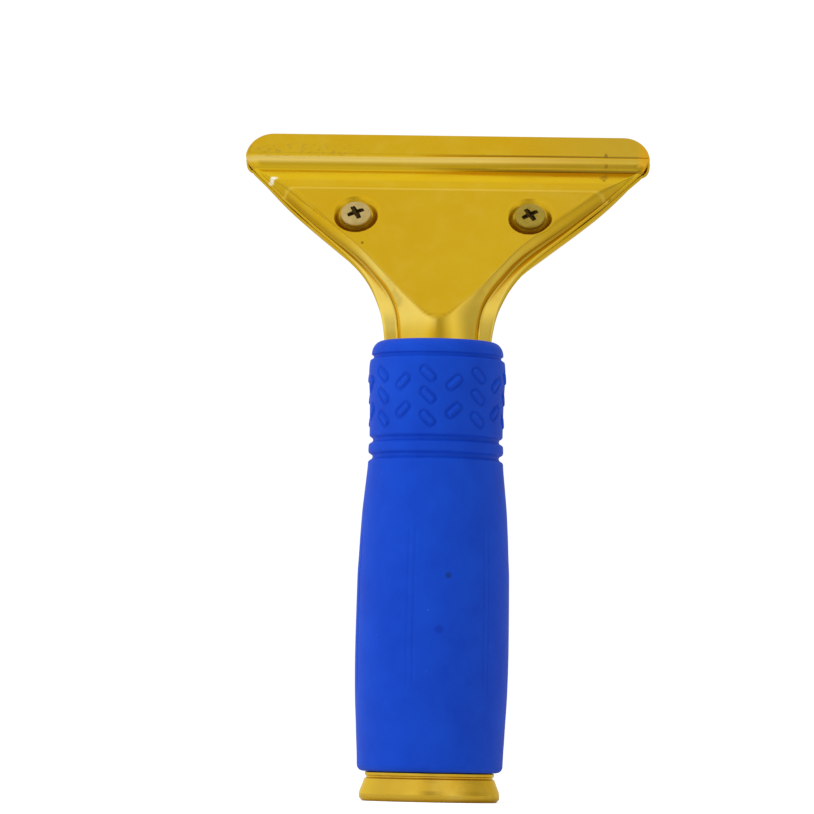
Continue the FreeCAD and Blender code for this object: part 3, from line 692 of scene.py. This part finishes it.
def pan_head(name, x, turn, segments=144):
    """Screw square to the jaw plane, turned by `turn` degrees; recess faces use slot 1."""
    profile, crown_count = screw_profile()
    count = len(profile)
    angles = np.arange(segments) * 2 * math.pi / segments
    radius = np.repeat(profile[:, 0][:, None], segments, axis=1)
    height = np.repeat(profile[:, 1][:, None], segments, axis=1)
    grid_x = radius * np.cos(angles)[None, :]
    grid_y = radius * np.sin(angles)[None, :]
    on_crown = (np.arange(count) < crown_count)[:, None]
    height = np.where(on_crown, height - recess_depth(grid_x, grid_y, radius), height)
    verts = np.stack([grid_x, grid_y, height], axis=-1).reshape(-1, 3)
    cos_turn, sin_turn = math.cos(math.radians(turn)), math.sin(math.radians(turn))
    spin = np.array([[cos_turn, -sin_turn, 0], [sin_turn, cos_turn, 0], [0, 0, 1]])
    lean = math.pi / 2 - TILT
    tip = np.array([[1, 0, 0], [0, math.cos(lean), -math.sin(lean)],
                    [0, math.sin(lean), math.cos(lean)]])
    base = place(np.array(x), np.array(SCREW_RUN), np.array(SEAT_HEIGHT + WASHER))
    screw = mesh_object(name, verts @ spin.T @ tip.T * MM + base,
                        [(a, d, c, b) for a, b, c, d
                         in grid_cells(count, segments, wrap_cols=True)])
    to_local = tip @ spin
    for face in screw.data.polygons:
        local = (np.array(face.center) - base) / MM @ to_local
        off_axis = math.hypot(local[0], local[1])
        sunk = 0.22 < crown_z(off_axis) - local[2] < 2.6
        face.material_index = 1 if off_axis < 2.4 and sunk else 0
    return screw


screws = []
for hand, screw_x, screw_turn in (("left", -SCREW_X, 27.0), ("right", SCREW_X, 33.0)):
    screws.append(pan_head("clamp_screw_%s_mesh" % hand, screw_x, screw_turn))
    fit(screws[-1], "clamp_screw_" + hand, hand + "_screw")


# ------------------------------------------------------------------ shader helpers
def srgb(*channels):
    """Linear RGBA from sRGB channels of 0 to 255."""
    shares = [channel / 255 for channel in channels]
    return tuple(share / 12.92 if share <= 0.04045 else ((share + 0.055) / 1.055) ** 2.4
                 for share in shares) + (1.0,)


class Graph:
    """Builds shader nodes; every value may be a number or an output socket."""

    def __init__(self, tree):
        self.tree = tree
        tree.nodes.clear()

    def node(self, kind, **settings):
        node = self.tree.nodes.new(kind)
        for key, value in settings.items():
            setattr(node, key, value)
        return node

    def feed(self, socket, value):
        if hasattr(value, "links"):
            self.tree.links.new(value, socket)
        else:
            socket.default_value = value

    def math(self, operation, *values):
        node = self.node("ShaderNodeMath", operation=operation)
        for i, value in enumerate(values):
            self.feed(node.inputs[i], value)
        return node.outputs[0]

    def add(self, first, second):
        return self.math("ADD", first, second)

    def minus(self, first, second):
        return self.math("SUBTRACT", first, second)

    def times(self, first, second):
        return self.math("MULTIPLY", first, second)

    def remap(self, source, span, to=(0, 1), kind="LINEAR"):
        """Maps the span onto `to`, held at its ends."""
        node = self.node("ShaderNodeMapRange", interpolation_type=kind)
        for i, value in enumerate((*span, *to), start=1):
            node.inputs[i].default_value = value
        self.feed(node.inputs[0], source)
        return node.outputs[0]

    def split(self, vector):
        node = self.node("ShaderNodeSeparateXYZ")
        self.feed(node.inputs[0], vector)
        return node.outputs


class Material(Graph):
    """A Principled material whose textures run in object millimetres."""

    def __init__(self, name):
        self.material = bpy.data.materials.new(name)
        self.material.use_nodes = True
        super().__init__(self.material.node_tree)
        output = self.node("ShaderNodeOutputMaterial")
        self.inputs = (shader := self.node("ShaderNodeBsdfPrincipled")).inputs
        self.feed(output.inputs[0], shader.outputs[0])
        self.coords = self.scaled(self.node("ShaderNodeTexCoord").outputs["Object"],
                                  scale=(1000, 1000, 1000))

    def set(self, **values):
        """Feeds shader inputs; an underscore stands for a space."""
        for key, value in values.items():
            self.feed(self.inputs[key.replace("_", " ")], value)

    def scaled(self, vector, scale, rotation=(0, 0, 0)):
        node = self.node("ShaderNodeMapping")
        node.inputs["Scale"].default_value = scale
        node.inputs["Rotation"].default_value = rotation
        self.feed(node.inputs[0], vector)
        return node.outputs[0]

    def noise(self, scale, detail, rough, vector=None):
        node = self.node("ShaderNodeTexNoise")
        node.inputs["Scale"].default_value = scale
        node.inputs["Detail"].default_value = detail
        node.inputs["Roughness"].default_value = rough
        self.feed(node.inputs["Vector"], vector or self.coords)
        return node.outputs["Fac"]

    def attribute(self, name):
        return self.node("ShaderNodeAttribute", attribute_name=name).outputs["Fac"]

    def mix(self, amount, base, over):
        node = self.node("ShaderNodeMix", data_type="RGBA")
        for i, value in ((0, amount), (6, base), (7, over)):
            self.feed(node.inputs[i], value)
        return node.outputs[2]

    def tint(self, base, colour, amount):
        """Mixes an sRGB colour over the base."""
        return self.mix(amount, base, srgb(*colour))

    def bump(self, source, depth, strength, normal=None):
        node = self.node("ShaderNodeBump")
        node.inputs["Strength"].default_value = strength
        node.inputs["Distance"].default_value = depth * MM
        self.feed(node.inputs["Height"], source)
        if normal is not None:
            self.feed(node.inputs["Normal"], normal)
        return node.outputs[0]


# ------------------------------------------------------------------ materials
def brass(name, main, warm, pale, rough, marks=None):
    """Polished brass in cloudy tones; `marks` may add painted highlights and shade, and stains,
    to its colour.
    """
    mat = Material(name)
    clouds = mat.noise(scale=0.045, detail=3, rough=0.5)
    patches = mat.noise(scale=0.16, detail=5, rough=0.6)
    colour = mat.tint(srgb(*main), warm, mat.remap(clouds, span=(0.35, 0.65)))
    colour = mat.tint(colour, pale, mat.remap(patches, span=(0.50, 0.80), to=(0, 0.55)))
    rub = mat.noise(scale=1.0, detail=6, rough=0.65,
                    vector=mat.scaled(mat.coords, scale=(0.08, 2.2, 2.2)))
    cross = mat.noise(scale=1.0, detail=4, rough=0.6, vector=mat.scaled(
        mat.coords, scale=(1.6, 0.2, 0.2), rotation=(0.5, 0.2, 0.4)))
    blots = mat.noise(scale=0.10, detail=4, rough=0.6)
    roughness = mat.add(mat.remap(blots, span=(0.3, 0.7), to=rough),
                        mat.remap(rub, span=(0.5, 0.8), to=(0.0, 0.05)))
    if marks:
        colour = marks(mat, colour)
    specks = mat.noise(scale=0.9, detail=2, rough=0.5)
    colour = mat.tint(colour, (120, 86, 26), mat.remap(specks, span=(0.76, 0.82), to=(0, 0.35)))
    normal = mat.bump(rub, depth=0.003, strength=0.35)
    normal = mat.bump(cross, depth=0.003, strength=0.3, normal=normal)
    dents = mat.noise(scale=0.16, detail=2, rough=0.5)
    normal = mat.bump(dents, depth=0.025, strength=0.35, normal=normal)
    mat.set(Base_Color=colour, Metallic=1.0, Specular_Tint=(0.98, 0.86, 0.50, 1),
            Roughness=roughness, Normal=normal)
    return mat.material


# small marks on the front plate, mostly stains, with one painted glint and one painted shadow:
# x, run, half size in x, half size in run, amount, colour
STAINS_AND_PAINTED_LIGHT = [
    (41.6, 49.3, 0.55, 1.1, 0.85, (96, 66, 14)),
    (41.8, 45.0, 0.55, 0.7, 0.5, (120, 86, 22)),
    (41.2, 40.6, 1.3, 1.5, 0.55, (140, 104, 34)),
    (41.4, 39.1, 0.5, 0.7, 0.6, (96, 66, 14)),
    (-20.4, 14.6, 0.42, 0.55, 0.7, (96, 78, 24)),
    # painted glint where the body's side wall meets the lip at the left corner
    (-45.1, 38.3, 1.5, 0.8, 0.9, (252, 248, 232)),
    # painted shadow: the shaded underside edge of the plates at the right end of the lip
    (43.1, 32.2, 0.8, 2.6, 0.8, (84, 58, 18))]


def jaw_marks(mat, colour):
    """Painted highlights and shade, with stains and tarnish, that follow the jaw of the front
    plate.
    """
    x, y, z = mat.split(mat.coords)
    normal = mat.split(mat.node("ShaderNodeTexCoord").outputs["Normal"])
    sideways = mat.math("ABSOLUTE", normal[0])
    # painted sheen: the sideways-facing flanks and the neck are tinted paler than the panel
    sideways_sheen = mat.times(mat.remap(sideways, span=(0.08, 0.35), to=(0.0, 0.50)),
                       mat.remap(z, span=(138.0, 148.0), to=(1.0, 0.0)))
    painted_sheen = mat.math("MAXIMUM", mat.remap(z, span=(121.0, 129.0), to=(0.08, 0.0)), sideways_sheen)
    colour = mat.tint(colour, (236, 202, 80), painted_sheen)
    run = mat.add(mat.times(mat.minus(y, BEND_TOP_Y), math.sin(TILT)),
                  mat.times(mat.minus(z, BEND_TOP_Z), math.cos(TILT)))
    # painted sheen on the flanks and the low rims
    colour = mat.tint(colour, (244, 216, 108), mat.attribute("flank_sheen"))
    # painted shade along the folds
    colour = mat.tint(colour, (138, 98, 20), mat.times(mat.attribute("fold_shade"), 0.55))
    right = mat.remap(x, span=(-8.0, 24.0), to=(0.0, 1.0))

    def line(centre, half, soft):
        away = mat.math("ABSOLUTE", mat.minus(run, centre))
        return mat.remap(away, span=(half, half + soft), to=(1.0, 0.0))

    # painted highlight: pale crest of the bead, strongest at its left
    crest = mat.times(line(46.45, half=0.55, soft=1.0),
                      mat.remap(x, span=(6.0, 40.0), to=(0.60, 0.15)))
    colour = mat.tint(colour, (232, 206, 120), crest)
    # painted shade: dark creases above and below the bead, strongest at the right
    upper = mat.times(line(BEAD_RUN + BEAD_HALF + 0.10, half=0.16, soft=0.36),
                      mat.remap(right, span=(0, 1), to=(0.12, 0.95)))
    colour = mat.tint(colour, (112, 84, 22), upper)
    lower = mat.times(line(BEAD_RUN - BEAD_HALF - 0.10, half=0.16, soft=0.40),
                      mat.remap(right, span=(0, 1), to=(0.25, 0.90)))
    colour = mat.tint(colour, (122, 90, 18), lower)
    # painted light: a warmer, brighter band below the bead where the ramp faces up, and a thin
    # painted highlight line at the foot of the ramp
    colour = mat.tint(colour, (228, 190, 30), mat.times(line(40.5, half=2.0, soft=1.6), 0.50))
    colour = mat.tint(colour, (236, 200, 80),
                      mat.times(line(RAMP_FOOT, half=0.15, soft=0.5), 0.45))
    # stains, plus the painted glint and the painted shadow
    for centre_x, centre_run, half_x, half_run, amount, mark_colour in STAINS_AND_PAINTED_LIGHT:
        across = mat.math("DIVIDE", mat.minus(x, centre_x), half_x)
        along = mat.math("DIVIDE", mat.minus(run, centre_run), half_run)
        distance = mat.add(mat.times(across, across), mat.times(along, along))
        ragged = mat.minus(mat.noise(scale=1.3, detail=3, rough=0.6), 0.5)
        spot = mat.remap(mat.add(distance, ragged), span=(0.2, 1.1), to=(1.0, 0.0))
        colour = mat.tint(colour, mark_colour, mat.times(spot, amount))
    # mottling at the left of the lip
    mottle = mat.noise(scale=0.8, detail=5, rough=0.7)
    zone = mat.times(line(49.6, half=1.8, soft=1.6), mat.remap(x, span=(-16.0, -30.0)))
    mottle = mat.times(zone, mat.remap(mottle, span=(0.50, 0.72), to=(0.0, 0.55)))
    colour = mat.tint(colour, (150, 124, 62), mottle)
    # the lip is tinted darker and browner towards the right, and a painted highlight sits at
    # its outer right end
    darker_right = mat.times(mat.remap(x, span=(14.0, 44.0), to=(0.0, 0.42)),
                     mat.remap(run, span=(43.8, 50.0), to=(0.45, 1.0)))
    colour = mat.tint(colour, (178, 148, 58), darker_right)
    right_end_highlight = mat.times(mat.remap(x, span=(49.6, 51.6), to=(0.0, 0.6)),
                          mat.remap(run, span=(40.0, 43.0)))
    return mat.tint(colour, (222, 158, 22), right_end_highlight)


def rubber():
    mat = Material("blue_rubber")
    blots = mat.noise(scale=0.09, detail=4, rough=0.6)
    fine = mat.noise(scale=2.2, detail=4, rough=0.6)
    colour = mat.tint(srgb(11, 64, 188), (15, 72, 198), mat.remap(blots, span=(0.35, 0.68)))
    colour = mat.tint(colour, (40, 92, 205), mat.remap(fine, span=(0.62, 0.80), to=(0, 0.30)))
    dust = mat.noise(scale=1.4, detail=2, rough=0.5)
    colour = mat.tint(colour, (92, 126, 205), mat.remap(dust, span=(0.755, 0.80), to=(0, 0.5)))
    x, y, z = mat.split(mat.coords)
    # two round marks on the front, the upper one a dark spot and the lower one the painted
    # shade of a small dent: x, z, radius, amount, colour
    for centre_x, centre_z, radius, amount, mark in (
            (4.75, 57.1, 0.72, 0.70, (14, 48, 112)), (2.7, 43.5, 1.05, 0.50, (8, 42, 162))):
        across, rise = mat.minus(x, centre_x), mat.minus(z, centre_z)
        distance = mat.add(mat.times(across, across), mat.times(rise, rise))
        area_sq = radius * radius
        spot = mat.remap(distance, span=(area_sq * 0.5, area_sq * 1.6), to=(1.0, 0.0))
        on_front = mat.remap(y, span=(-2.0, 2.0), to=(amount, 0.0))
        colour = mat.tint(colour, mark, mat.times(spot, on_front))
    grain = mat.noise(scale=5.0, detail=3, rough=0.6)
    normal = mat.bump(grain, depth=0.030, strength=0.5)
    ripple = mat.noise(scale=0.45, detail=4, rough=0.55)
    normal = mat.bump(ripple, depth=0.10, strength=0.35, normal=normal)
    mat.set(Base_Color=colour, Roughness=mat.remap(fine, span=(0.3, 0.7), to=(0.52, 0.66)),
            Specular_IOR_Level=0.12, Normal=normal)
    return mat.material


def grained(name, first, second, rough, grain, metallic=1.0):
    """Two mottled tones with a fine grain, scaled by `grain` along x, y and z."""
    mat = Material(name)
    mottle = mat.noise(scale=0.5, detail=4, rough=0.6)
    colour = mat.tint(srgb(*first), second, mat.remap(mottle, span=(0.3, 0.7)))
    grain = mat.noise(scale=1.0, detail=5, rough=0.65, vector=mat.scaled(mat.coords, grain))
    mat.set(Base_Color=colour, Metallic=metallic,
            Roughness=mat.remap(grain, span=(0.3, 0.7), to=rough),
            Normal=mat.bump(grain, depth=0.008, strength=0.6))
    return mat.material


SHELL_BRASS = dict(main=(207, 170, 33), warm=(206, 163, 27), pale=(212, 178, 58),
                   rough=(0.13, 0.24))
plate_brass = brass("brass_shell_front", **SHELL_BRASS, marks=jaw_marks)
shell_brass = brass("brass_shell", **SHELL_BRASS)
trim = brass("brass_trim", main=(214, 178, 62), warm=(206, 164, 44), pale=(224, 192, 88),
             rough=(0.12, 0.22))
blue_rubber = rubber()

# name, first and second tone, roughness range, grain scale, metallic
GRAINED = [
    ("screw_plating_left", (196, 172, 118), (180, 156, 90), (0.30, 0.44), (1.5, 1.5, 1.5), 1.0),
    # the cross recess's dark tone is painted shade
    ("screw_recess_shade", (70, 54, 26), (92, 72, 36), (0.5, 0.65), (1.5, 1.5, 1.5), 1.0),
    ("screw_plating_right", (166, 144, 58), (150, 128, 48), (0.28, 0.42), (1.5, 1.5, 1.5), 1.0),
    ("nut_plating", (206, 184, 112), (186, 162, 90), (0.3, 0.45), (2, 2, 2), 1.0),
    ("spring_steel", (150, 128, 64), (166, 144, 82), (0.35, 0.5), (2, 2, 2), 1.0),
    ("blade_steel", (186, 188, 190), (202, 204, 206), (0.20, 0.32), (0.12, 3.0, 3.0), 1.0),
    ("stop_plastic", (30, 30, 32), (44, 44, 46), (0.5, 0.65), (1, 1, 1), 0.0)]
left_plating, recess_shade, right_plating, nut, washer, blade, stop = [
    grained(*entry) for entry in GRAINED]


def assign(part, *materials):
    """Fills the slots, keeping each face's slot where there are several."""
    slots = [face.material_index for face in part.data.polygons]
    part.data.materials.clear()
    for material in materials:
        part.data.materials.append(material)
    if len(materials) > 1:
        part.data.polygons.foreach_set("material_index", slots)


assign(plate, plate_brass)
assign(rear, shell_brass)
assign(grip, blue_rubber)
assign(ferrule, trim)
# slot 1 of each screw carries the painted shade of the cross recess
assign(screws[0], left_plating, recess_shade)
assign(screws[1], right_plating, recess_shade)
# the pieces that keep their CAD shape
for piece, material in (
        ("handle_tube", trim), ("neck_rivet_lower", trim), ("neck_rivet_upper", trim),
        ("socket_stop", stop), ("clamp_nut_left", nut), ("clamp_nut_right", nut),
        ("lock_washer_left", washer), ("lock_washer_right", washer),
        ("scraper_blade", blade), ("blade_spine", trim)):
    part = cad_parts[piece]
    if len(part.material_slots):
        for slot in part.material_slots:
            slot.material = material
    else:
        part.data.materials.append(material)


# ------------------------------------------------------------------ floor
def build_floor(half=30.0, z=-0.00002):
    """White paper, in metres, just under the ferrule."""
    mesh = bpy.data.meshes.new("studio_floor")
    corners = [(-half, -half, z), (half, -half, z), (half, half, z), (-half, half, z)]
    mesh.from_pydata(corners, [], [(0, 1, 2, 3)])
    floor = add_object("studio_floor", mesh)
    mat = Material("studio_paper")
    clouds = mat.remap(mat.noise(scale=0.01, detail=2, rough=0.5), span=(0.3, 0.7))
    colour = mat.mix(clouds, base=(0.92, 0.92, 0.92, 1), over=(0.95, 0.95, 0.95, 1))
    # the camera alone sees it glow
    seen = mat.node("ShaderNodeLightPath").outputs["Is Camera Ray"]
    mat.set(Base_Color=colour, Roughness=0.9, Specular_IOR_Level=0.1,
            Emission_Color=(1, 1, 1, 1), Emission_Strength=mat.times(seen, 0.45))
    mesh.materials.append(mat.material)


build_floor()

# ------------------------------------------------------------------ world
# What the brass reflects, as (degrees, brightness): a ring round the horizon by azimuth, 0 at
# the front and positive towards +X, and the ceiling above it by elevation.
AZIMUTH_CURVE = [
    (-180.0, 0.80), (-150.0, 1.05), (-115.0, 1.00), (-80.0, 0.94), (-62.0, 1.04), (-48.0, 0.94),
    (-28.0, 1.15), (-12.0, 1.08), (2.0, 0.42), (14.0, 0.70), (38.0, 1.18), (56.0, 0.92),
    (80.0, 0.52), (104.0, 0.62), (120.0, 0.70), (150.0, 0.76), (180.0, 0.80)]
ELEVATION_CURVE = [
    (-90.0, 0.9), (20.0, 1.0), (45.0, 1.06), (62.0, 1.04), (76.0, 0.97), (90.0, 0.97)]
AMBIENT, BACKDROP = 0.62, 1.03      # levels for diffuse rays and for the camera


def brightness(graph, degrees, curve):
    """Grey curve, stored at half value so that it fits the ramp's 0 to 1."""
    low, high = curve[0][0], curve[-1][0]
    ramp = graph.node("ShaderNodeValToRGB")
    ramp.color_ramp.interpolation = "B_SPLINE"
    elements = ramp.color_ramp.elements
    while len(elements) < len(curve):
        elements.new(0.5)
    for element, (angle, value) in zip(elements, curve):
        element.position = (angle - low) / (high - low)
        element.color = (value * 0.5, value * 0.5, value * 0.5, 1)
    graph.feed(ramp.inputs[0], graph.remap(degrees, span=(low, high)))
    return graph.times(ramp.outputs[0], 2.0)


def build_world():
    world = bpy.data.worlds.new("studio_world")
    bpy.context.scene.world = world
    world.use_nodes = True
    graph = Graph(world.node_tree)
    x, y, z = graph.split(graph.node("ShaderNodeTexCoord").outputs["Generated"])
    azimuth = graph.times(graph.math("ARCTAN2", x, graph.times(y, -1.0)), 180 / math.pi)
    elevation = graph.times(graph.math("ARCSINE", z), 180 / math.pi)
    ring = brightness(graph, azimuth, AZIMUTH_CURVE)
    ceiling = brightness(graph, elevation, ELEVATION_CURVE)
    upward = graph.remap(elevation, span=(22.0, 52.0), kind="SMOOTHSTEP")
    level = graph.add(graph.times(ring, graph.minus(1.0, upward)),
                      graph.times(ceiling, upward))
    rays = graph.node("ShaderNodeLightPath").outputs
    for is_ray, flat in ((rays["Is Diffuse Ray"], AMBIENT), (rays["Is Camera Ray"], BACKDROP)):
        level = graph.add(graph.times(level, graph.minus(1.0, is_ray)),
                          graph.times(is_ray, flat))
    background = graph.node("ShaderNodeBackground")
    graph.feed(background.inputs["Strength"], level)
    graph.feed(background.inputs["Color"], (1, 1, 1, 1))
    graph.feed(graph.node("ShaderNodeOutputWorld").inputs[0], background.outputs[0])


build_world()


# ------------------------------------------------------------------ lights
def softbox(name, location, size, power, target=(0, 0, 0.1)):
    """Square area light, in metres and watts, that leaves no reflection."""
    data = bpy.data.lights.new(name, "AREA")
    data.energy = power
    data.size = size
    light = add_object(name, data)
    light.location = location
    light.rotation_mode = "QUATERNION"
    light.rotation_quaternion = (Vector(target) - Vector(location)).to_track_quat("-Z", "Y")
    light.visible_glossy = False


softbox("key_softbox", location=(-1.25, -0.80, 0.55), size=0.7, power=8.0)
softbox("top_softbox", location=(-0.2, -0.3, 1.5), size=0.9, power=6.0)

# ------------------------------------------------------------------ camera
CAMERA_AZIMUTH, CAMERA_ROLL = math.radians(3.3), math.radians(1.15)
CAMERA_DISTANCE, CAMERA_Z = 1280.0, 15.0     # distance on the ground
TARGET = Vector((-7.6, 0.0, 100.6))
VIEW_WIDTH = 208.384                         # width in view at the target
SENSOR = 36.0


def build_camera():
    place_x = TARGET.x + CAMERA_DISTANCE * math.sin(CAMERA_AZIMUTH)
    place_y = TARGET.y - CAMERA_DISTANCE * math.cos(CAMERA_AZIMUTH)
    position = Vector((place_x, place_y, CAMERA_Z))
    forward = TARGET - position
    distance = forward.length
    forward.normalize()
    level = forward.cross(Vector((0, 0, 1))).normalized()
    upright = level.cross(forward)
    right = level * math.cos(CAMERA_ROLL) + upright * math.sin(CAMERA_ROLL)
    up = -level * math.sin(CAMERA_ROLL) + upright * math.cos(CAMERA_ROLL)
    data = bpy.data.cameras.new("studio_camera")
    camera = add_object("studio_camera", data)
    rows = [(right[i], up[i], -forward[i], position[i] * MM) for i in range(3)]
    camera.matrix_world = Matrix((*rows, (0, 0, 0, 1)))
    data.sensor_width = SENSOR
    data.lens = SENSOR * distance / VIEW_WIDTH
    data.clip_start = 0.05
    data.clip_end = 30.0
    bpy.context.scene.camera = camera


build_camera()
bpy.context.scene.view_settings.view_transform = "Standard"
bpy.context.scene.view_settings.look = "None"
